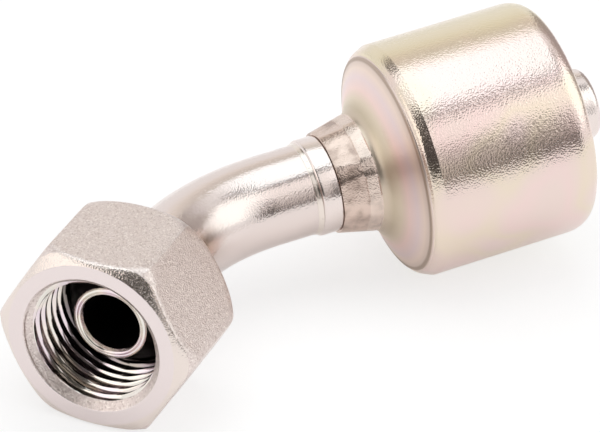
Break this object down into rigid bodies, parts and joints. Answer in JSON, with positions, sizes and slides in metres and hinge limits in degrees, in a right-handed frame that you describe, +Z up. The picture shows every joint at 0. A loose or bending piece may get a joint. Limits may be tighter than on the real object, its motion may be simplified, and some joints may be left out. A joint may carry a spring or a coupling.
{
  "type": "crimp hose fitting",
  "caption": "Bent steel hose end: a swivel hexagon nut on a cone nose, a bent tube, a barbed stem and a crimp shell that grips the hose.",
  "frame": {"origin": "on the surface that the fitting lies on, under the middle of its bounding box", "axes": "+X along the hose's axis as seen from above, from the elbow towards the hose; +Z up; the nut's axis is level and heads 44.5 degrees from +X towards -Y at its open face"},
  "size_m": [0.1004, 0.0542, 0.0388],
  "materials": {
    "bright_steel": "bright zinc plated, satin",
    "turned_steel": "turned and zinc plated",
    "zinc_plate": "zinc plated with a faint yellow and pink sheen",
    "blasted_steel": "fine blasted, matt"
  },
  "bodies": {
    "fitting": {"elbow_tube": "bright_steel", "hose_stem": "turned_steel", "crimp_shell": "zinc_plate"},
    "nut": {"swivel_nut": "blasted_steel"}
  },
  "joints": [
    {"name": "nut_spin", "type": "hinge", "parent": "fitting", "child": "nut", "pos_m": [-0.03409, -0.01087, 0.0135], "axis": [0.7135, 0.7007, 0], "continuous": true}
  ]
}
